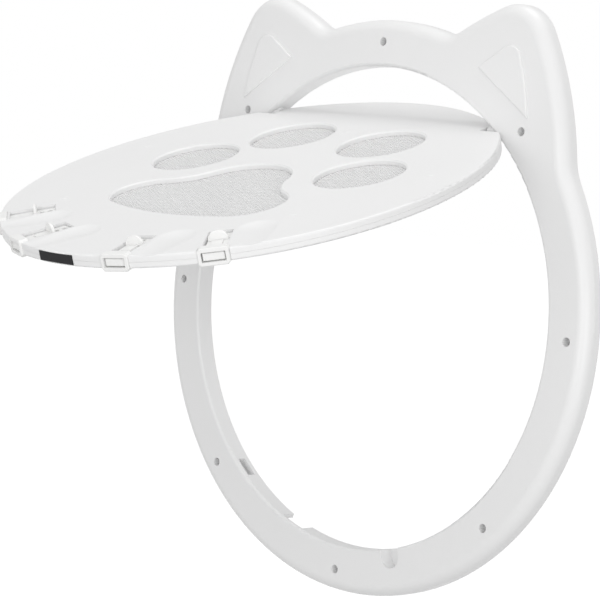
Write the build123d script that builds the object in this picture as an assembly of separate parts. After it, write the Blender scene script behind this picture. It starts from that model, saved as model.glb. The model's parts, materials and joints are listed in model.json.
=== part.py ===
from build123d import *
import os
from math import atan, atan2, ceil, cos, degrees, hypot, radians, sin, sqrt

# Cat-head pet door: a moulded ring with two ears, and a round flap with a paw of mesh windows.
#
# Sizes are in millimetres. X runs right and +Z up, seen from the front, and the front faces -Y.
# The origin is the centre of the opening, in the plane of the ring's back face. Every piece is
# drawn lying face up, with x right, y up the door and z out of the back face towards the viewer,
# and is then stood upright. The flap is drawn closed and is then swung open about its hinge pins.

# Ring
opening_radius = 120.0
ring_width = 23.0
ring_depth = 10.0
wall = 2.2
outer_round = 6.0
inner_round = 1.5
overrun = 1.0
near = 0.01

# Ears, right-hand one: two bowed sides that meet in a rounded tip, measured from the ear's foot,
# which is the spot on the ring's outside at the ear's angle
ear_angle = degrees(atan2(4, 3))
ear_outer_side = ((35.8, -50.4), (27.2, -2.4), (4.0, 42.6))
ear_inner_side = ((4.0, 42.6), (-22.8, 32.8), (-51.8, 16.6))
ear_tip_round = 22.0
ear_outer_blend = 30.0
ear_inner_blend = 12.0
inner_ear_corners = ((-22.3, 7.6), (-0.3, 22.1), (10.7, -14.9))
inner_ear_bow = (6.8, 3.6)
inner_ear_round = 7.0
inner_ear_height = 1.0

# Screw holes and the ribs that carry them
screw_inset = 12.0
screw_count = 8
screw_hole_radius = 2.1
boss_radius = 4.6
rib_thickness = 1.6
ribs_between_screws = 3
rib_setback = 1.0

# Flap
rim_clearance = 1.6
flap_thickness = 6.0
flap_edge_round = 1.0
open_angle = 70.0
skin = 1.5
rim_width = 3.0
collar_width = 2.6

# Hinge
hinge_drop = 28.0
pin_radius = 1.5
pin_length = 24.0
pin_running_gap = 0.06
pin_press_gap = 0.02
knuckle_radius = 3.8
knuckle_hold = 12.6
corner_notch_gap = 1.0
corner_notch_half_height = 7.4

# Paw windows, top edge to top edge, on the flap's face
paw_offset = 4.0
toe_radius = 22.2
outer_toe_centre = (55.9, 13.0)
inner_toe_centre = (30.1, 54.7)
palm_crown_radius = 27.8
palm_crown_height = -13.5
palm_lobe_radius = 19.3
palm_lobe_centre = (33.8, -37.2)
palm_waist_radius = 25.5
palm_bottom = -61.5
window_bevel = 0.8

# Mesh, one piece behind each window
mesh_thickness = 0.4
mesh_grip = 1.4
mesh_gap_clearance = 0.2
mesh_pitch = 8.0
mesh_bar = 1.3
mesh_angle = 45.0

# Latches, four alike, at these angles from the bottom of the flap
latch_angles = {"outer_left": -39.0, "inner_left": -17.0, "inner_right": 17.0, "outer_right": 39.0}
latch_travel = 4.0
bolt_width = 9.6
bolt_thickness = 3.4
bolt_top_pad = 0.5
bolt_stand_out = 0.2
bolt_length = 26.4
bolt_side_gap = 0.4
bolt_face_gap = 0.3
tab_setback = 12.1
tab_thickness = 1.3
tab_width = 9.4
tab_height = 6.4
detent_hole_radius = 1.2
detent_pip_radius = 0.85
detent_pip_height = 0.6
detent_from_tail = 2.2

# Guide that frames each bolt where it leaves the rim
guide_width = 14.0
guide_height = 8.0
guide_depth = 4.6
guide_stand_out = 0.8
guide_corner = 1.2
guide_window_width = 10.6
guide_window_height = 4.3
guide_seat_gap = 0.05

# Open well over each bolt, and the finger trough beside it, which grows shallow towards the rim
well_width = 11.0
well_setback = 5.0
trough_half_width = 9.2
trough_depth = 1.4
trough_rim_depth = 0.3
trough_offset = 16.0
trough_length = 34.9

# What the bolts meet in the ring
keeper_width = 11.0
keeper_height = 4.6
rear_notch_width = 15.0
rear_notch_lip = 2.5
front_scoop_width = 11.0
front_scoop_length = 9.5
front_scoop_floor = 2.6
front_scoop_wall = 2.0
front_scoop_round = 1.2

# Magnets
magnet_width = 23.0
magnet_height = 4.5
magnet_depth = 3.0
magnet_inset = 0.3
magnet_gap = 0.05
magnet_pocket_wall = 1.2

# Screws that hold the two flap shells together
shell_screws = ((0.0, 67.0), (74.0, -44.0), (-66.0, -59.0), (97.0, 20.0), (-97.0, 20.0))
shell_boss_radius = 4.0
thread_radius = 1.1
thread_reach = 1.9
thread_gap = 0.03
head_radius = 2.3
head_height = 1.2
head_gap = 0.2
drive_slot_width = 0.6
drive_slot_depth = 0.6
pip_radius = 2.0
pip_height = 0.35

# Worked out from the sizes above
half_thickness = flap_thickness / 2
flap_radius = opening_radius - rim_clearance
ring_radius = opening_radius + ring_width
middle = ring_depth / 2
face_plate = ring_depth - wall
ear_foot = (ring_radius * cos(radians(ear_angle)), ring_radius * sin(radians(ear_angle)))
screw_circle_radius = opening_radius + screw_inset
hinge_height = opening_radius - hinge_drop
pin_inner_end = opening_radius / 2
pin_outer_end = pin_inner_end + pin_length
knuckle_reach = pin_outer_end - knuckle_hold
corner_notch_start = knuckle_reach - corner_notch_gap
bolt_end_radius = flap_radius + bolt_stand_out
bolt_tail_radius = bolt_end_radius - bolt_length
well_outer_radius = flap_radius - well_setback
tab_radius = well_outer_radius - tab_setback
detent_first_radius = bolt_tail_radius + detent_from_tail
trough_end_radius = flap_radius - trough_length
front_scoop_reach = opening_radius + front_scoop_length
channel_half = bolt_thickness / 2 + bolt_face_gap
guide_face_radius = flap_radius + guide_stand_out
guide_root_radius = guide_face_radius - guide_depth
channel_end_radius = bolt_tail_radius - bolt_side_gap


def on_plate(sketch, start, end):
    """A flat sketch as a plate between two heights."""
    return extrude(Pos(0, 0, start) * sketch, end - start)


def block(x_range, y_range, z_range):
    """A box between two limits on each axis."""
    size = [high - low for low, high in (x_range, y_range, z_range)]
    centre = [(low + high) / 2 for low, high in (x_range, y_range, z_range)]
    return Pos(*centre) * Box(*size)


def mirrored(shape):
    """The shape and its mirror image across the door's centre line."""
    return shape + mirror(shape, about=Plane.YZ)


def edges_at(shape, height):
    """The edges that lie in the plane at this height."""
    return shape.edges().filter_by_position(Axis.Z, height - near, height + near)


def edges_outside(edges, radius):
    """Those edges whose middle lies further out than this radius."""
    return [edge for edge in edges if hypot((edge @ 0.5).X, (edge @ 0.5).Y) > radius]


def nearest_vertices(sketch, spots):
    """The sketch's corner nearest to each spot."""
    return [sketch.vertices().sort_by_distance((*spot, 0))[0] for spot in spots]


def ring_outline():
    """The ring's round outside with the two ears blended into it."""
    outer = ThreePointArc(*ear_outer_side)
    inner = ThreePointArc(*ear_inner_side)
    base = Line(ear_inner_side[-1], ear_outer_side[0])
    ear = make_face([outer, inner, base])
    ear = Pos(*ear_foot) * fillet(nearest_vertices(ear, [ear_outer_side[-1]]), ear_tip_round)
    outline = Circle(ring_radius) + mirrored(ear)
    crossings = [vertex for vertex in outline.vertices()
                 if abs(hypot(vertex.X, vertex.Y) - ring_radius) < near and abs(vertex.X) > overrun]
    outline = fillet([v for v in crossings if v.Y < abs(v.X)], ear_outer_blend)
    joints = [vertex for vertex in outline.vertices()
              if abs(hypot(vertex.X, vertex.Y) - ring_radius) < near and vertex.Y > abs(vertex.X) > overrun]
    return fillet(joints, ear_inner_blend)


def as_arcs(sketch):
    """The same outline drawn afresh, with one plain arc for each of its edges."""
    return make_face([ThreePointArc(edge @ 0, edge @ 0.5, edge @ 1) for edge in sketch.edges()])


def inner_ear():
    """The raised triangle on the face of the right ear."""
    low, top, side = inner_ear_corners
    outline = make_face([Line(low, top), ThreePointArc(top, inner_ear_bow, side), Line(side, low)])
    outline = Pos(*ear_foot) * fillet(nearest_vertices(outline, [top]), inner_ear_round)
    panel = on_plate(outline, face_plate, ring_depth + inner_ear_height)
    return fillet(edges_at(panel, ring_depth + inner_ear_height), inner_ear_height * 0.8)


def drawn_in(outline, inset, low):
    """The ring's outer shape drawn in by one depth at the sides and the front, corner round too."""
    body = on_plate(as_arcs(offset(outline, -inset)), low, ring_depth - inset)
    return fillet(edges_at(body, ring_depth - inset), outer_round - inset)


def round_core(radius):
    """A cylinder on the door's axis that runs past both faces of the ring."""
    return on_plate(Circle(radius), -2 * overrun, ring_depth + overrun)


def ring_pocket(outline):
    """The hollow in the ring's back, which leaves one even wall."""
    return drawn_in(outline, wall, -overrun) - round_core(opening_radius + wall)


def ring_ribs(outline):
    """Screw bosses and radial ribs, trimmed to the inside of the ring's walls."""
    count = screw_count * (ribs_between_screws + 1)
    length = 2 * ring_radius
    top = face_plate + wall / 2
    spokes = Sketch()
    for index in range(count):
        spokes += Rot(Z=index * 360 / count) * Pos(length / 2, 0) * Rectangle(length, rib_thickness)
    ribs = on_plate(spokes, rib_setback, top) & drawn_in(outline, wall / 2, 0)
    ribs -= round_core(opening_radius + wall / 2)
    bosses = Sketch() + PolarLocations(screw_circle_radius, screw_count) * Circle(boss_radius)
    return ribs + on_plate(bosses, 0, top)


def at_latch(name, shape):
    """A shape drawn at the bottom of the flap, turned to one latch."""
    return Rot(Z=latch_angles[name]) * shape


def front_scoop(grow, floor, top):
    """The round-ended pocket that lets one bolt swing out to the front."""
    half = front_scoop_width / 2 + grow
    end = -(front_scoop_reach - front_scoop_width / 2)
    plan = Pos(0, end) * Circle(half) + Pos(0, (end - opening_radius + wall) / 2) * Rectangle(
        2 * half, -end - opening_radius + wall)
    return on_plate(plan, floor, top)


def make_ring():
    """The moulded ring with its ears, bosses, ribs, hinge knuckles and latch keepers."""
    outline = ring_outline()
    body = on_plate(outline, 0, ring_depth)
    body = fillet(edges_at(body, ring_depth), outer_round)
    body += mirrored(inner_ear())
    body -= ring_pocket(outline)
    body += ring_ribs(outline)
    scoop_floor = front_scoop_floor - wall
    cup = at_latch("inner_right", front_scoop(front_scoop_wall, scoop_floor, face_plate + wall / 2))
    body += cup
    half_pocket = magnet_width / 2 + magnet_gap + magnet_pocket_wall
    pocket_back = opening_radius + wall + magnet_depth + 2 * magnet_gap + magnet_pocket_wall
    body += block((-half_pocket, half_pocket), (-pocket_back, -opening_radius - wall / 2),
                  (rib_setback, face_plate + wall / 2))
    body -= round_core(opening_radius)
    rim = [edge for edge in edges_at(body, ring_depth)
           if abs(hypot((edge @ 0.5).X, (edge @ 0.5).Y) - opening_radius) < near]
    body = fillet(rim, inner_round)
    knuckle = Pos(knuckle_reach, hinge_height, middle) * Rot(Y=90) * Cylinder(
        knuckle_radius, pin_outer_end + wall - knuckle_reach, align=(Align.CENTER, Align.CENTER, Align.MIN))
    body += mirrored(knuckle)
    bore = Pos(pin_inner_end, hinge_height, middle) * Rot(Y=90) * Cylinder(
        pin_radius + pin_press_gap, pin_length, align=(Align.CENTER, Align.CENTER, Align.MIN))
    body -= mirrored(bore)
    body -= at_latch("inner_right", front_scoop(0, front_scoop_floor, ring_depth + overrun))
    inside, outside = opening_radius - overrun, opening_radius + 1.5 * wall
    keeper = block((-keeper_width / 2, keeper_width / 2), (-outside, -inside),
                   (middle - keeper_height / 2, middle + keeper_height / 2))
    body -= at_latch("outer_left", keeper) + at_latch("outer_right", keeper)
    notch = block((-rear_notch_width / 2, rear_notch_width / 2), (-outside, -inside),
                  (-overrun, ring_depth - rear_notch_lip))
    body -= at_latch("inner_left", notch)
    half_magnet = magnet_width / 2 + magnet_gap
    slot = block((-half_magnet, half_magnet),
                 (-opening_radius - wall - magnet_depth - 2 * magnet_gap, -opening_radius - wall),
                 (-overrun, middle + magnet_height / 2 + magnet_gap))
    body -= slot
    holes = Sketch() + PolarLocations(screw_circle_radius, screw_count) * Circle(screw_hole_radius)
    return body - on_plate(holes, -overrun, ring_depth + overrun)


def make_ring_magnet():
    """The bar magnet behind the ring's wall at the bottom."""
    near = opening_radius + wall + magnet_gap
    return block((-magnet_width / 2, magnet_width / 2), (-near - magnet_depth, -near),
                 (middle - magnet_height / 2, middle + magnet_height / 2))


def make_pin(side):
    """One hinge pin with chamfered ends; side is 1 on the right and -1 on the left."""
    pin = Cylinder(pin_radius, pin_length)
    pin = chamfer(pin.edges().filter_by(GeomType.CIRCLE), pin_radius / 5)
    return Pos(side * (pin_inner_end + pin_length / 2), hinge_height, middle) * Rot(Y=90) * pin


def toward(start, goal, distance):
    """The point this far from start on the way to goal."""
    span = hypot(goal[0] - start[0], goal[1] - start[1])
    return tuple(s + (g - s) * distance / span for s, g in zip(start, goal))


def on_arc(centre, radius, first, last):
    """The middle point of the shorter arc between two points of a circle."""
    angle_first = atan2(first[1] - centre[1], first[0] - centre[0])
    angle_last = atan2(last[1] - centre[1], last[0] - centre[0])
    turn = (angle_last - angle_first + radians(180)) % radians(360) - radians(180)
    angle = angle_first + turn / 2
    return centre[0] + radius * cos(angle), centre[1] + radius * sin(angle)


def palm_outline():
    """The palm window: a crown and two lobes, with hollow waists and a bowed bottom.

    Each waist arc touches the crown and a lobe from outside, and the bottom arc holds both lobes
    inside it, so every joint is smooth.
    """
    crown = (0.0, palm_crown_height)
    lobe = palm_lobe_centre
    span = hypot(lobe[0] - crown[0], lobe[1] - crown[1])
    from_crown = palm_crown_radius + palm_waist_radius
    from_lobe = palm_lobe_radius + palm_waist_radius
    along = (span ** 2 + from_crown ** 2 - from_lobe ** 2) / (2 * span)
    aside = sqrt(from_crown ** 2 - along ** 2)
    step = ((lobe[0] - crown[0]) / span, (lobe[1] - crown[1]) / span)
    waist = (crown[0] + along * step[0] - aside * step[1], crown[1] + along * step[1] + aside * step[0])
    drop = lobe[1] - palm_bottom
    bottom_radius = (lobe[0] ** 2 + drop ** 2 - palm_lobe_radius ** 2) / (2 * (drop - palm_lobe_radius))
    bottom = (0.0, palm_bottom + bottom_radius)
    crown_end = toward(crown, waist, palm_crown_radius)
    lobe_start = toward(lobe, waist, palm_lobe_radius)
    lobe_end = toward(bottom, lobe, bottom_radius)
    lobe_side = toward(lobe, (2 * lobe[0], lobe[1] + drop / 4), palm_lobe_radius)
    crown_top = (0.0, palm_crown_height + palm_crown_radius)
    half = [
        ThreePointArc(crown_top, on_arc(crown, palm_crown_radius, crown_top, crown_end), crown_end),
        ThreePointArc(crown_end, on_arc(waist, palm_waist_radius, crown_end, lobe_start), lobe_start),
        ThreePointArc(lobe_start, lobe_side, lobe_end),
        ThreePointArc(lobe_end, on_arc(bottom, bottom_radius, lobe_end, (0, palm_bottom)), (0, palm_bottom)),
        Line((0, palm_bottom), crown_top),
    ]
    return mirrored(make_face(half))


def windows():
    """The outline of each window on the flap's face, by the name of its mesh."""
    toe = Pos(paw_offset, 0) * Circle(toe_radius)
    return {
        "palm_mesh": Pos(paw_offset, 0) * palm_outline(),
        "toe_mesh_outer_left": Pos(-outer_toe_centre[0], outer_toe_centre[1]) * toe,
        "toe_mesh_inner_left": Pos(-inner_toe_centre[0], inner_toe_centre[1]) * toe,
        "toe_mesh_inner_right": Pos(*inner_toe_centre) * toe,
        "toe_mesh_outer_right": Pos(*outer_toe_centre) * toe,
    }


def window_cut(outline):
    """A window's opening through one shell, from the joint up, with a bevelled edge."""
    opening = offset(outline, -window_bevel)
    straight = on_plate(opening, -overrun, half_thickness + overrun)
    top = half_thickness + window_bevel
    lead = extrude(Pos(0, 0, top) * offset(outline, window_bevel), -2 * window_bevel, taper=45)
    return straight + lead


def flap_outline():
    """The flap's disc, notched at both ends of the hinge to clear the ring's knuckles."""
    notch = Pos(corner_notch_start + flap_radius / 2, hinge_height) * Rectangle(
        flap_radius, 2 * corner_notch_half_height)
    return Circle(flap_radius) - mirrored(notch)


def shell_pocket(openings):
    """The hollow inside a shell: clear of rim, window collars, hinge, screw bosses and latches."""
    plan = Circle(flap_radius - rim_width)
    for outline in openings.values():
        plan -= offset(outline, collar_width)
    hinge_strip = Pos(pin_inner_end + flap_radius / 2 - collar_width, hinge_height) * Rectangle(
        flap_radius, 4 * half_thickness)
    plan -= mirrored(hinge_strip)
    latch_top = palm_bottom - collar_width / 2
    plan -= Pos(0, latch_top - flap_radius / 2) * Rectangle(2 * flap_radius, flap_radius)
    for spot in shell_screws:
        plan -= Pos(*spot) * Circle(shell_boss_radius)
    for name in latch_angles:
        plan -= at_latch(name, Pos(trough_offset, -trough_end_radius) * Circle(trough_half_width + collar_width))
    return on_plate(plan, -overrun, half_thickness - skin)


def guide_seat():
    """The gap in the rim that takes one guide."""
    half = guide_width / 2 + guide_seat_gap
    tall = guide_height / 2 + overrun
    return block((-half, half), (-flap_radius - overrun, -guide_root_radius + guide_seat_gap), (-tall, tall))


def bolt_channel():
    """The room for one bolt between the shells."""
    half = bolt_width / 2 + bolt_side_gap
    return block((-half, half), (-guide_root_radius - overrun, -channel_end_radius),
                 (-channel_half, channel_half))


def latch_well():
    """The opening in the face over one bolt."""
    half = well_width / 2
    return block((-half, half), (-well_outer_radius, -channel_end_radius), (0, half_thickness + overrun))


def finger_trough():
    """The dish beside one well: a ball at its inner end, and a tilted cylinder out to the rim."""
    curve = (trough_half_width ** 2 + trough_depth ** 2) / (2 * trough_depth)
    start = trough_end_radius + trough_half_width
    tilt = degrees(atan((trough_depth - trough_rim_depth) / (flap_radius - start)))
    run = Rot(X=90 - tilt) * Cylinder(curve, flap_radius, align=(Align.CENTER, Align.CENTER, Align.MIN))
    return Pos(trough_offset, -start, half_thickness - trough_depth + curve) * (Sphere(curve) + run)


def magnet_seat():
    """The gap in the rim that takes the flap's magnet."""
    half = magnet_width / 2 + magnet_gap
    tall = magnet_height / 2 + magnet_gap
    inner = flap_radius - magnet_inset - magnet_depth - magnet_gap
    return block((-half, half), (-flap_radius - overrun, -inner), (-tall, tall))


def pin_channel():
    """The round bore for the hinge pins between the shells."""
    bore = Pos(pin_inner_end - magnet_inset, hinge_height, 0) * Rot(Y=90) * Cylinder(
        pin_radius + pin_running_gap, flap_radius, align=(Align.CENTER, Align.CENTER, Align.MIN))
    return mirrored(bore)


def shell_blank(openings):
    """What both shells share, from the joint at z = 0 up to the outer face."""
    blank = on_plate(flap_outline(), 0, half_thickness)
    blank = fillet(edges_outside(edges_at(blank, half_thickness), flap_radius - near), flap_edge_round)
    for outline in openings.values():
        blank -= window_cut(outline)
    blank -= shell_pocket(openings)
    blank -= pin_channel()
    blank -= magnet_seat()
    for name in latch_angles:
        blank -= at_latch(name, guide_seat() + bolt_channel())
    return blank


def make_front_shell(openings):
    """The flap's front half, with mesh rebates, latch wells, finger troughs and screw pips."""
    shell = shell_blank(openings)
    for outline in openings.values():
        shell -= on_plate(offset(outline, mesh_grip + mesh_gap_clearance), -overrun, mesh_thickness)
    for name in latch_angles:
        shell -= at_latch(name, latch_well())
        shell -= at_latch(name, finger_trough())
    dome_radius = (pip_radius ** 2 + pip_height ** 2) / (2 * pip_height)
    for spot in shell_screws:
        bore = Cylinder(thread_radius + thread_gap, 2 * (thread_reach + thread_gap))
        dome = Pos(0, 0, half_thickness + pip_height - dome_radius) * Sphere(dome_radius)
        dome &= Pos(0, 0, half_thickness) * Cylinder(pip_radius, 2 * pip_height)
        shell += Pos(*spot, 0) * dome
        shell -= Pos(*spot, 0) * bore
    return shell


def make_back_shell(openings):
    """The flap's plain back half, with counterbored screw holes and the latches' detent pips."""
    shell = mirror(shell_blank(openings), about=Plane.XY)
    for spot in shell_screws:
        shell -= Pos(*spot, 0) * Cylinder(thread_radius + head_gap, 2 * flap_thickness)
        seat = Cylinder(head_radius + head_gap, head_height + overrun,
                        align=(Align.CENTER, Align.CENTER, Align.MAX))
        shell -= Pos(*spot, head_height - half_thickness) * seat
    for name in latch_angles:
        pip = Pos(0, -detent_first_radius, -channel_half - overrun) * Cylinder(
            detent_pip_radius, overrun + detent_pip_height, align=(Align.CENTER, Align.CENTER, Align.MIN))
        shell += at_latch(name, pip)
    return shell


def make_mesh(outline):
    """One piece of mesh: crossed ridges with square gaps, cut larger than its window."""
    sheet = on_plate(offset(outline, mesh_grip), 0, mesh_thickness)
    inside = offset(outline, -mesh_pitch / 2)
    box = outline.bounding_box()
    centre = box.center()
    reach = ceil(hypot(box.size.X, box.size.Y) / (2 * mesh_pitch))
    gap = Rot(Z=mesh_angle) * Rectangle(mesh_pitch - mesh_bar, mesh_pitch - mesh_bar)
    gaps = Sketch()
    for row in range(-reach, reach + 1):
        for column in range(-reach, reach + 1):
            spot = Vector(row * mesh_pitch, column * mesh_pitch).rotate(Axis.Z, mesh_angle) + centre
            if inside.distance_to(Vertex(spot.X, spot.Y, 0)) < near / 10:
                gaps += Pos(spot.X, spot.Y) * gap
    return sheet - on_plate(gaps, -overrun, mesh_thickness + overrun)


def make_flap_magnet():
    """The bar magnet in the flap's rim."""
    outer = flap_radius - magnet_inset
    return block((-magnet_width / 2, magnet_width / 2), (-outer, magnet_depth - outer),
                 (-magnet_height / 2, magnet_height / 2))


def make_shell_screws():
    """The screws that join the shells, driven from the back."""
    screws = []
    bottom = head_height - half_thickness
    for spot in shell_screws:
        head = Cylinder(head_radius, head_height, align=(Align.CENTER, Align.CENTER, Align.MAX))
        slot_size = (2 * head_radius, drive_slot_width, 2 * drive_slot_depth)
        slot = Box(*slot_size) + Rot(Z=90) * Box(*slot_size)
        head -= Pos(0, 0, -head_height) * slot
        thread = Cylinder(thread_radius, thread_reach - bottom, align=(Align.CENTER, Align.CENTER, Align.MIN))
        screws.append(Pos(*spot, bottom) * (head + thread))
    return Compound(children=screws)


def make_bolt():
    """One latch bolt: a flat bar with a raised pad, a thumb tab and a tail with two detent holes."""
    half = bolt_width / 2
    low, high = -bolt_thickness / 2, bolt_thickness / 2
    bar = block((-half, half), (-bolt_end_radius, -bolt_tail_radius), (low, high))
    tip = bar.faces().sort_by(Axis.Y)[0]
    bar = chamfer(tip.edges(), bolt_face_gap)
    pad_end = well_outer_radius - latch_travel - bolt_side_gap
    bar += block((-half / 2, half / 2), (-pad_end, -tab_radius), (low, high + bolt_top_pad))
    rise = tab_height - tab_width / 2
    crown = Pos(0, rise) * Circle(tab_width / 2) & Pos(0, tab_height / 2) * Rectangle(tab_width, tab_height)
    plan = Plane.XZ * (crown + Pos(0, rise / 2) * Rectangle(tab_width, rise))
    tab = extrude(Pos(0, -tab_radius - tab_thickness / 2, 0) * plan, -tab_thickness)
    rounded = [edge for edge in tab.edges() - tab.edges().filter_by(Axis.Y) if (edge @ 0.5).Z > tab_thickness]
    bar += fillet(rounded, tab_thickness / 4)
    for stop in (0, latch_travel):
        bar -= Pos(0, -detent_first_radius - stop, 0) * Cylinder(detent_hole_radius, 2 * bolt_thickness)
    groove_depth = detent_pip_height
    bar -= block((-detent_hole_radius, detent_hole_radius),
                 (-detent_first_radius - latch_travel, -detent_first_radius + latch_travel),
                 (low - overrun, low + groove_depth))
    return bar


def make_guide():
    """The frame round one bolt where it leaves the rim: a block with cut corners and a window."""
    half, tall = guide_width / 2, guide_height / 2
    body = block((-half, half), (-guide_face_radius, -guide_root_radius), (-tall, tall))
    body = chamfer(body.edges().filter_by(Axis.Y), guide_corner)
    face = body.faces().sort_by(Axis.Y)[0]
    body = chamfer(face.edges(), guide_stand_out / 2)
    wide, high = guide_window_width / 2, guide_window_height / 2
    return body - block((-wide, wide), (-guide_face_radius - overrun, -guide_root_radius + overrun),
                        (-high, high))


def make_flap():
    """Every piece of the flap in its closed place, by node name."""
    openings = windows()
    pieces = {
        "flap_front_shell": make_front_shell(openings),
        "flap_back_shell": make_back_shell(openings),
        "flap_magnet": make_flap_magnet(),
        "flap_screws": make_shell_screws(),
    }
    for name, outline in openings.items():
        pieces[name] = make_mesh(outline)
    for name in latch_angles:
        pieces["latch_bolt_" + name] = at_latch(name, make_bolt())
        pieces["latch_guide_" + name] = at_latch(name, make_guide())
    return pieces


def main():
    stand = Plane.XZ.location
    swing = Pos(0, hinge_height, middle) * Rot(X=-open_angle) * Pos(0, -hinge_height, 0)
    pieces = {
        "ring": make_ring(),
        "ring_magnet": make_ring_magnet(),
        "hinge_pin_left": make_pin(-1),
        "hinge_pin_right": make_pin(1),
    }
    for name, piece in make_flap().items():
        pieces[name] = swing * piece
    os.makedirs("parts", exist_ok=True)
    for name, piece in pieces.items():
        export_step(stand * piece, "parts/" + name + ".step")


main()
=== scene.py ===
import json
import math

import bpy
import numpy as np
from mathutils import Matrix, Vector


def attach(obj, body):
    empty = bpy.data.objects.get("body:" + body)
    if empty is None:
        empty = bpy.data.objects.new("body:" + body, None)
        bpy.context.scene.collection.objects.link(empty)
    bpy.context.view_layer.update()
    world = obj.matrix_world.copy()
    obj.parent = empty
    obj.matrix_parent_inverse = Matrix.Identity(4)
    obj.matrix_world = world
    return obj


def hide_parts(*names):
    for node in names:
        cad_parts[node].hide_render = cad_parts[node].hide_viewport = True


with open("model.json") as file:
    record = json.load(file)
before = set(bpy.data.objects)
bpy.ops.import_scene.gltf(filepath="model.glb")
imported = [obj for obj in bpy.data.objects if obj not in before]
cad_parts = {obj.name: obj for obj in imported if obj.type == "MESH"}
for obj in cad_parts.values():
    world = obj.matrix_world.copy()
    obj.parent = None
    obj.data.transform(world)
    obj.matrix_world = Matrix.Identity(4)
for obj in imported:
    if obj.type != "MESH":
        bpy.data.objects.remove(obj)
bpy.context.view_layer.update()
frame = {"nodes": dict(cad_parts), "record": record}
print("frame loaded:", len(frame["nodes"]), "nodes")

mm = 0.001

# The hinge line and the flap's tilt at rest, as the frame has them. Flap pieces are worked out
# on the closed flap, with x right, y up and z towards the viewer, and then swung open.
flap = {
    "hingeHeight": 92.0,
    "middle": 5.0,
    "openAngle": math.radians(70.0),
}


# an sRGB hex value as a linear colour
def linearColour(hexText):
    channels = [int(hexText[i:i + 2], 16) / 255 for i in (1, 3, 5)]
    straight = [c / 12.92 if c <= 0.04045 else ((c + 0.055) / 1.055) ** 2.4 for c in channels]
    return (*straight, 1.0)


# adds one node; settings are its properties or inputs, links go from a socket to an input
def addNode(tree, kind, settings=None, links=None):
    node = tree.nodes.new(kind)
    for key, value in (settings or {}).items():
        if key in node.inputs:
            node.inputs[key].default_value = value
        else:
            setattr(node, key, value)
    for key, source in (links or {}).items():
        tree.links.new(source, node.inputs[key])
    return node


# a material with a bare Principled shader, its tree, its shader and Object coordinates
def startMaterial(name):
    material = bpy.data.materials.new(name)
    material.use_nodes = True
    tree = material.node_tree
    shader = tree.nodes["Principled BSDF"]
    coords = addNode(tree, "ShaderNodeTexCoord").outputs["Object"]
    return material, tree, shader, coords


# Injection-moulded plastic with the satin skin of a finely eroded tool: an even white with a very
# faint cloudiness from the flow of the melt, a fine grain that breaks up the highlights, and
# edges that the mould leaves slightly soft.
def mouldedPlastic(name, look):
    material, tree, shader, coords = startMaterial(name)
    cloud = addNode(tree, "ShaderNodeTexNoise",
                    {"Scale": 1 / (look["cloudMm"] * mm), "Detail": 3.0, "Roughness": 0.5},
                    {"Vector": coords})
    tint = addNode(tree, "ShaderNodeMix", {"data_type": "RGBA", "clamp_factor": True})
    tint.inputs[6].default_value = linearColour(look["colour"])
    tint.inputs[7].default_value = linearColour(look["cloudColour"])
    tree.links.new(cloud.outputs["Fac"], tint.inputs[0])
    tree.links.new(tint.outputs[2], shader.inputs["Base Color"])
    grain = addNode(tree, "ShaderNodeTexNoise",
                    {"Scale": 1 / (look["grainMm"] * mm), "Detail": 2.0, "Roughness": 0.6},
                    {"Vector": coords})
    spread = 0.05       # how far the grain moves the roughness either way
    polish = addNode(tree, "ShaderNodeMapRange",
                     {"From Min": 0.3, "From Max": 0.7,
                      "To Min": look["rough"] - spread, "To Max": look["rough"] + spread},
                     {"Value": grain.outputs["Fac"]})
    tree.links.new(polish.outputs["Result"], shader.inputs["Roughness"])
    softEdge = addNode(tree, "ShaderNodeBevel", {"samples": 4, "Radius": look["edgeMm"] * mm})
    bump = addNode(tree, "ShaderNodeBump",
                   {"Strength": look["grainStrength"], "Distance": look["grainDepthMm"] * mm},
                   {"Height": grain.outputs["Fac"], "Normal": softEdge.outputs["Normal"]})
    tree.links.new(bump.outputs["Normal"], shader.inputs["Normal"])
    shader.inputs["IOR"].default_value = 1.5
    return material


plasticLooks = {
    "whiteAbsFrame": {"colour": "#F0F0F0", "cloudColour": "#EDEDED", "cloudMm": 60.0, "grainMm": 0.9,
                      "rough": 0.34, "grainStrength": 0.25, "grainDepthMm": 0.03, "edgeMm": 0.35},
    "whiteAbsFlap": {"colour": "#F1F1F1", "cloudColour": "#EEEEEE", "cloudMm": 50.0, "grainMm": 0.9,
                     "rough": 0.36, "grainStrength": 0.2, "grainDepthMm": 0.03, "edgeMm": 0.3},
    "whiteAcetalLatch": {"colour": "#F4F4F3", "cloudColour": "#F1F1F0", "cloudMm": 12.0, "grainMm": 0.6,
                         "rough": 0.36, "grainStrength": 0.15, "grainDepthMm": 0.02, "edgeMm": 0.25},
    "whiteNylonMesh": {"colour": "#F0F0F0", "cloudColour": "#EDEDED", "cloudMm": 9.0, "grainMm": 0.4,
                       "rough": 0.5, "grainStrength": 0.1, "grainDepthMm": 0.01, "edgeMm": 0.1},
}


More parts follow.
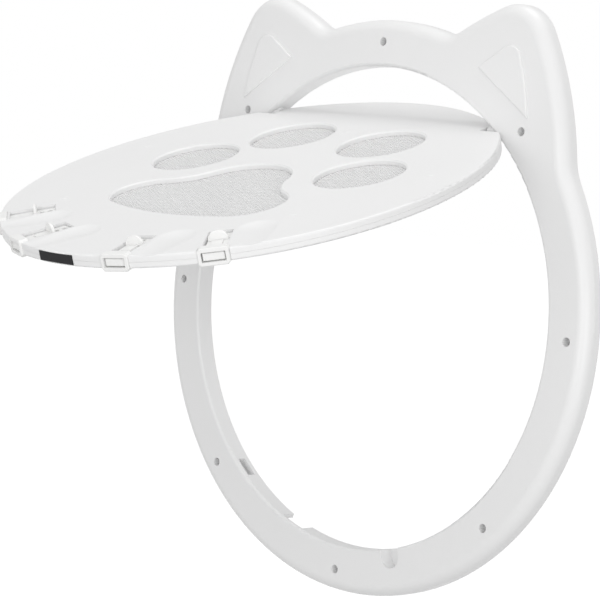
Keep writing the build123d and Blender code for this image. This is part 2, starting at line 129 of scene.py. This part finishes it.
# Bonded ferrite, the magnets' dark bar: matt, with a fine crumb in two dark greys.
def bondedFerrite(name):
    material, tree, shader, coords = startMaterial(name)
    crumb = addNode(tree, "ShaderNodeTexNoise", {"Scale": 1 / (0.7 * mm), "Detail": 4.0, "Roughness": 0.65},
                    {"Vector": coords})
    ramp = addNode(tree, "ShaderNodeValToRGB", links={"Fac": crumb.outputs["Fac"]})
    ramp.color_ramp.elements[0].position = 0.3
    ramp.color_ramp.elements[0].color = linearColour("#131315")
    ramp.color_ramp.elements[1].position = 0.75
    ramp.color_ramp.elements[1].color = linearColour("#1F1F21")
    tree.links.new(ramp.outputs["Color"], shader.inputs["Base Color"])
    bump = addNode(tree, "ShaderNodeBump", {"Strength": 0.4, "Distance": 0.05 * mm},
                   {"Height": crumb.outputs["Fac"]})
    tree.links.new(bump.outputs["Normal"], shader.inputs["Normal"])
    shader.inputs["Roughness"].default_value = 0.65
    shader.inputs["Specular IOR Level"].default_value = 0.3
    return material


# Drawn and zinc-plated steel: cool grey metal with fine lines along the wire.
def drawnSteel(name, streakMm):
    material, tree, shader, coords = startMaterial(name)
    stretched = addNode(tree, "ShaderNodeMapping", {"Scale": (1.0, 14.0, 14.0)}, {"Vector": coords})
    lines = addNode(tree, "ShaderNodeTexNoise", {"Scale": 1 / (streakMm * mm), "Detail": 3.0},
                    {"Vector": stretched.outputs["Vector"]})
    polish = addNode(tree, "ShaderNodeMapRange", {"To Min": 0.22, "To Max": 0.42},
                     {"Value": lines.outputs["Fac"]})
    tree.links.new(polish.outputs["Result"], shader.inputs["Roughness"])
    bump = addNode(tree, "ShaderNodeBump", {"Strength": 0.15, "Distance": 0.02 * mm},
                   {"Height": lines.outputs["Fac"]})
    tree.links.new(bump.outputs["Normal"], shader.inputs["Normal"])
    shader.inputs["Base Color"].default_value = linearColour("#BDBEC0")
    shader.inputs["Metallic"].default_value = 1.0
    return material


slotMaterials = {
    "frame_white": mouldedPlastic("whiteAbsFrame", plasticLooks["whiteAbsFrame"]),
    "flap_white": mouldedPlastic("whiteAbsFlap", plasticLooks["whiteAbsFlap"]),
    "latch_white": mouldedPlastic("whiteAcetalLatch", plasticLooks["whiteAcetalLatch"]),
    "mesh_white": mouldedPlastic("whiteNylonMesh", plasticLooks["whiteNylonMesh"]),
    "magnet_black": bondedFerrite("bondedFerrite"),
    "pin_steel": drawnSteel("drawnSteelPin", 3.0),
    "screw_steel": drawnSteel("zincPlatedScrew", 1.5),
}
slotOfNode = {part["node"]: part["material_slot"] for part in frame["record"]["subparts"]}
for nodeName, nodeObject in frame["nodes"].items():
    nodeObject.data.materials.clear()
    nodeObject.data.materials.append(slotMaterials[slotOfNode[nodeName]])
print("materials on the frame's own pieces")


# points of the closed flap, in mm, turned about the hinge to rest and stood upright, in metres
def swungOpen(points):
    rise = points[:, 1] - flap["hingeHeight"]
    lift = points[:, 2]
    turn = flap["openAngle"]
    up = rise * math.cos(turn) + lift * math.sin(turn) + flap["hingeHeight"]
    out = lift * math.cos(turn) - rise * math.sin(turn) + flap["middle"]
    return np.stack([points[:, 0], -out, up], axis=1) * mm


# a mesh object at the origin, which rides a body; it is smooth but for edges over the crease angle
def meshPiece(name, points, faces, body, slotName, crease):
    data = bpy.data.meshes.new(name)
    data.from_pydata(points.tolist(), [], faces)
    data.shade_smooth()
    data.set_sharp_from_angle(angle=crease)
    data.materials.append(slotMaterials[slotName])
    piece = bpy.data.objects.new(name, data)
    bpy.context.collection.objects.link(piece)
    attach(piece, body)
    return piece


# The woven nylon mesh behind the paw windows, one piece a window, larger than it by the grip.
weave = {
    "pitch": 1.6,                   # from thread to thread, in mm
    "height": 0.2,                  # middle of the mesh over the joint of the shells
    "warp": {"radius": 0.28, "crimp": 0.03, "lift": 0.1},    # nearly straight, and a little proud
    "weft": {"radius": 0.26, "crimp": 0.09, "lift": -0.03},
    "angle": math.radians(152.0),   # the way the warp runs, which shows as lines in the photograph
    "grip": 1.4,
    "stepsAnArc": 24,
}
paw = {
    "offset": 4.0,
    "toeRadius": 22.2,
    "outerToe": (55.9, 13.0),
    "innerToe": (30.1, 54.7),
    "crownRadius": 27.8,
    "crownHeight": -13.5,
    "lobeRadius": 19.3,
    "lobeCentre": (33.8, -37.2),
    "waistRadius": 25.5,
    "bottom": -61.5,
}


# points along the shorter arc between two directions seen from its centre
def arcPoints(centre, radius, first, last):
    start = math.atan2(first[1] - centre[1], first[0] - centre[0])
    turn = (math.atan2(last[1] - centre[1], last[0] - centre[0]) - start + math.pi) % (2 * math.pi) - math.pi
    angles = start + turn * np.linspace(0.0, 1.0, weave["stepsAnArc"])
    return np.stack([centre[0] + radius * np.cos(angles), centre[1] + radius * np.sin(angles)], axis=1)


# The palm's outline, grown by the grip. The waist circle touches crown and lobe from outside, so
# its centre is where circles round both, with the waist's radius added, cross. The bottom circle
# holds both lobes and passes through the lowest point. Growing makes crown, lobe and bottom
# larger and the waist smaller.
def palmOutline():
    grip = weave["grip"]
    crown, lobe = np.array([0.0, paw["crownHeight"]]), np.array(paw["lobeCentre"])
    span = np.linalg.norm(lobe - crown)
    fromCrown, fromLobe = paw["crownRadius"] + paw["waistRadius"], paw["lobeRadius"] + paw["waistRadius"]
    along = (span ** 2 + fromCrown ** 2 - fromLobe ** 2) / (2 * span)
    step = (lobe - crown) / span
    waist = crown + along * step + math.sqrt(fromCrown ** 2 - along ** 2) * np.array([-step[1], step[0]])
    drop = lobe[1] - paw["bottom"]
    bottomRadius = (lobe[0] ** 2 + drop ** 2 - paw["lobeRadius"] ** 2) / (2 * (drop - paw["lobeRadius"]))
    bottom = np.array([0.0, paw["bottom"] + bottomRadius])
    lobeEnd = lobe + (lobe - bottom)
    half = np.concatenate([
        arcPoints(crown, paw["crownRadius"] + grip, crown + (0.0, 1.0), waist),
        arcPoints(waist, paw["waistRadius"] - grip, crown, lobe),
        arcPoints(lobe, paw["lobeRadius"] + grip, waist, lobe + (1.0, 0.0)),
        arcPoints(lobe, paw["lobeRadius"] + grip, lobe + (1.0, 0.0), lobeEnd),
        arcPoints(bottom, bottomRadius + grip, lobe, bottom - (0.0, 1.0)),
    ])
    return np.concatenate([half, half[::-1] * (-1.0, 1.0)]) + (paw["offset"], 0.0)


# a round toe's outline, grown by the grip
def toeOutline(side, centre):
    angles = np.linspace(0.0, 2 * math.pi, 4 * weave["stepsAnArc"], endpoint=False)
    reach = paw["toeRadius"] + weave["grip"]
    return np.stack([paw["offset"] + side * centre[0] + reach * np.cos(angles),
                     centre[1] + reach * np.sin(angles)], axis=1)


# true for points whose line to the right crosses the outline an odd number of times
def insideOutline(x, y, outline):
    nextPoint = np.roll(outline, -1, axis=0)
    crossings = np.zeros(x.shape, dtype=int)
    for (x0, y0), (x1, y1) in zip(outline, nextPoint):
        if y0 != y1:
            spans = (y0 > y) != (y1 > y)
            crossings += spans & (x < x0 + (y - y0) * (x1 - x0) / (y1 - y0))
    return crossings % 2 == 1


# One direction of threads, as four-sided tubes. Thread i lies i pitches to the side of the centre
# line. Its points stand a quarter of a pitch before and after each crossing, and rise or dip by
# the crimp; the sign changes from crossing to crossing and from thread to thread.
def threadSet(outline, turn, firstUp, thread):
    pitch = weave["pitch"]
    centre = (outline.min(axis=0) + outline.max(axis=0)) / 2
    count = math.ceil(np.linalg.norm(np.ptp(outline, axis=0)) / (2 * pitch))
    lanes = np.arange(-count, count + 1)
    stops = np.sort(np.concatenate([lanes - 0.25, lanes + 0.25]))
    lane, stop = np.meshgrid(lanes, stops, indexing="ij")
    sign = np.where((lane + np.rint(stop).astype(int)) % 2 == 0, firstUp, -firstUp)
    cosTurn, sinTurn = math.cos(turn), math.sin(turn)
    x = centre[0] + (stop * cosTurn - lane * sinTurn) * pitch
    y = centre[1] + (stop * sinTurn + lane * cosTurn) * pitch
    z = weave["height"] + thread["lift"] + sign * thread["crimp"]
    side = np.array([0.0, 1.0, 0.0, -1.0]) * thread["radius"]
    rise = np.array([-1.0, 0.0, 1.0, 0.0]) * thread["radius"]
    points = np.stack([x[..., None] - sinTurn * side,
                       y[..., None] + cosTurn * side,
                       z[..., None] + rise], axis=-1)
    index = np.arange(points[..., 0].size).reshape(points.shape[:3])
    inside = insideOutline(x, y, outline)
    joined = inside[:, :-1] & inside[:, 1:]
    here, there = index[:, :-1][joined], index[:, 1:][joined]
    walls = np.stack([here, np.roll(here, -1, axis=1), np.roll(there, -1, axis=1), there], axis=-1)
    arrives, leaves = np.zeros_like(inside), np.zeros_like(inside)
    arrives[:, 1:] = joined
    leaves[:, :-1] = joined
    caps = [index[leaves & ~arrives][:, ::-1], index[arrives & ~leaves]]
    return points.reshape(-1, 3), np.concatenate([walls.reshape(-1, 4), *caps])


# both directions of threads over one window; points outside the outline are dropped
def wovenMesh(nodeName, outline):
    warp, warpFaces = threadSet(outline, weave["angle"], 1.0, weave["warp"])
    weft, weftFaces = threadSet(outline, weave["angle"] - math.pi / 2, -1.0, weave["weft"])
    used, faces = np.unique(np.concatenate([warpFaces, weftFaces + len(warp)]), return_inverse=True)
    points = swungOpen(np.concatenate([warp, weft])[used])
    quads = faces.reshape(-1, 4).tolist()
    piece = meshPiece("woven_" + nodeName, points, quads, "flap", "mesh_white", math.pi)
    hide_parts(nodeName)


wovenMesh("palm_mesh", palmOutline())
for sideName, sideSign in {"left": -1.0, "right": 1.0}.items():
    wovenMesh("toe_mesh_outer_" + sideName, toeOutline(sideSign, paw["outerToe"]))
    wovenMesh("toe_mesh_inner_" + sideName, toeOutline(sideSign, paw["innerToe"]))
print("woven meshes made")

# The moulded cup behind each closed slot in the ring's wall, which takes an outer bolt's tip.
cup = {
    "angles": {"left": math.radians(-39.0), "right": math.radians(39.0)},   # from the ring's bottom
    "openRadius": 121.9,
    "floorRadius": 127.5,
    "width": 11.3,
    "height": 4.9,
    "middle": 5.0,                  # over the ring's back face
    "wall": 1.2,
    "corner": 0.4,
    "cornerSteps": 5,
    "crease": math.radians(35.0),   # sharper edges than this are shaded as edges
}


# A loop round the cup at one radius: a rectangle with round corners, grown by some wall.
def cupLoop(radius, grow):
    corner = cup["corner"] + grow
    quarter = np.linspace(0.0, math.pi / 2, cup["cornerSteps"])
    angles = np.concatenate([quarter + k * math.pi / 2 for k in range(4)])
    insetX, insetZ = cup["width"] / 2 + grow - corner, cup["height"] / 2 + grow - corner
    signX = np.repeat([1.0, -1.0, -1.0, 1.0], cup["cornerSteps"])
    signZ = np.repeat([1.0, 1.0, -1.0, -1.0], cup["cornerSteps"])
    x = signX * insetX + corner * np.cos(angles)
    z = signZ * insetZ + corner * np.sin(angles) + cup["middle"]
    return np.stack([x, np.full_like(x, -radius), z], axis=1)


# Loops from the cup's inner floor out to its mouth, over the mouth's edge and down the outside to
# its rounded back, joined by quads, turned about the door's axis and stood upright.
def keeperCup(sideName, turn):
    wall = cup["wall"]
    loops = [
        cupLoop(cup["floorRadius"] - wall, 0.0),
        cupLoop(cup["openRadius"], 0.0),
        cupLoop(cup["openRadius"], wall),
        cupLoop(cup["floorRadius"] - wall / 2, wall),
        cupLoop(cup["floorRadius"] - wall / 6, wall * 5 / 6),
        cupLoop(cup["floorRadius"], wall / 2),
    ]
    count = len(loops[0])
    points = np.concatenate(loops)
    faces = []
    for start in range(0, len(points) - count, count):
        for i in range(count):
            j = (i + 1) % count
            faces.append((start + i, start + j, start + count + j, start + count + i))
    faces.append(tuple(reversed(range(count))))
    faces.append(tuple(range(len(points) - count, len(points))))
    x = points[:, 0] * math.cos(turn) - points[:, 1] * math.sin(turn)
    y = points[:, 0] * math.sin(turn) + points[:, 1] * math.cos(turn)
    upright = np.stack([x, -points[:, 2], y], axis=1) * mm
    meshPiece("keeper_cup_" + sideName, upright, faces, "frame", "frame_white", cup["crease"])


for sideName, turn in cup["angles"].items():
    keeperCup(sideName, turn)
print("keeper cups made")

# A white studio: an even sky, a soft box straight above the door, one low in front of it and a
# small one on the right. The upper one draws the arch's soft shadow on the flap.
studio = {
    "floorHeight": -0.30,
    "floorReach": 6.0,
    "floorGlow": 0.66,
    "sky": 0.69,
    "backdrop": 1.0,
    "target": (0.0, -0.04, 0.0),
    "boxes": {
        "upperBox": {"place": (0.0, -0.05, 1.25), "size": 0.6, "power": 3.75},
        "frontBox": {"place": (0.5, -1.3, 0.1), "size": 0.7, "power": 3.8},
        "rightBox": {"place": (1.1, -0.6, 0.0), "size": 0.5, "power": 2.7},
    },
}
floorData = bpy.data.meshes.new("floor")
reach = studio["floorReach"]
corners = [(-reach, -reach), (reach, -reach), (reach, reach), (-reach, reach)]
floorData.from_pydata([(x, y, studio["floorHeight"]) for x, y in corners], [], [(0, 1, 2, 3)])
floor = bpy.data.objects.new("floor", floorData)
bpy.context.collection.objects.link(floor)


# a pale floor, which glows for camera and glossy rays so that it looks white but keeps the shadow
def paleFloor(name):
    material, tree, shader = startMaterial(name)[:3]
    shader.inputs["Base Color"].default_value = linearColour("#C0C0C0")
    shader.inputs["Roughness"].default_value = 0.9
    path = addNode(tree, "ShaderNodeLightPath")
    glow = addNode(tree, "ShaderNodeEmission",
                   {"Color": linearColour("#FFFFFF"), "Strength": studio["floorGlow"]})
    both = addNode(tree, "ShaderNodeAddShader")
    tree.links.new(shader.outputs["BSDF"], both.inputs[0])
    tree.links.new(glow.outputs["Emission"], both.inputs[1])
    seen = addNode(tree, "ShaderNodeMath", {"operation": "MAXIMUM"},
                   {0: path.outputs["Is Camera Ray"], 1: path.outputs["Is Glossy Ray"]})
    mix = addNode(tree, "ShaderNodeMixShader")
    tree.links.new(seen.outputs["Value"], mix.inputs["Fac"])
    tree.links.new(shader.outputs["BSDF"], mix.inputs[1])
    tree.links.new(both.outputs["Shader"], mix.inputs[2])
    tree.links.new(mix.outputs["Shader"], tree.nodes["Material Output"].inputs["Surface"])
    return material


floorData.materials.append(paleFloor("paleFloor"))

world = bpy.data.worlds.new("studio")
bpy.context.scene.world = world
world.use_nodes = True
worldTree = world.node_tree
background = worldTree.nodes["Background"]
worldPath = addNode(worldTree, "ShaderNodeLightPath")
worldSeen = addNode(worldTree, "ShaderNodeMath", {"operation": "MAXIMUM"},
                    {0: worldPath.outputs["Is Camera Ray"], 1: worldPath.outputs["Is Transmission Ray"]})
worldPick = addNode(worldTree, "ShaderNodeMix", {"data_type": "FLOAT"})
worldTree.links.new(worldSeen.outputs["Value"], worldPick.inputs[0])
worldPick.inputs[2].default_value = studio["sky"]
worldPick.inputs[3].default_value = studio["backdrop"]
worldTree.links.new(worldPick.outputs[0], background.inputs["Strength"])
background.inputs["Color"].default_value = linearColour("#FFFFFF")


# a square soft box that faces the studio's target
def softBox(name, place, size, power):
    lamp = bpy.data.lights.new(name, "AREA")
    lamp.shape = "SQUARE"
    lamp.size = size
    lamp.energy = power
    holder = bpy.data.objects.new(name, lamp)
    bpy.context.collection.objects.link(holder)
    holder.location = place
    holder.rotation_euler = (Vector(studio["target"]) - Vector(place)).to_track_quat("-Z", "Y").to_euler()


for boxName, box in studio["boxes"].items():
    softBox(boxName, **box)

# The camera, fitted to the ring's circles, the screw holes, the flap's rim and the paw.
view = {
    "eye": (0.7568, -0.7995, 0.0834),
    "forward": (-0.70917, 0.70105, -0.07498),
    "up": (-0.11633, -0.01146, 0.99315),
    "lens": 132.4,
}
cameraData = bpy.data.cameras.new("camera")
camera = bpy.data.objects.new("camera", cameraData)
bpy.context.collection.objects.link(camera)
cameraData.sensor_width = 36.0
cameraData.lens = view["lens"]
forward = Vector(view["forward"]).normalized()
right = forward.cross(Vector(view["up"])).normalized()
upward = right.cross(forward)
camera.matrix_world = Matrix.Translation(view["eye"]) @ Matrix((
    (right.x, upward.x, -forward.x),
    (right.y, upward.y, -forward.y),
    (right.z, upward.z, -forward.z))).to_4x4()
bpy.context.scene.camera = camera
bpy.context.scene.view_settings.view_transform = "Standard"
print("stage, light and camera set")
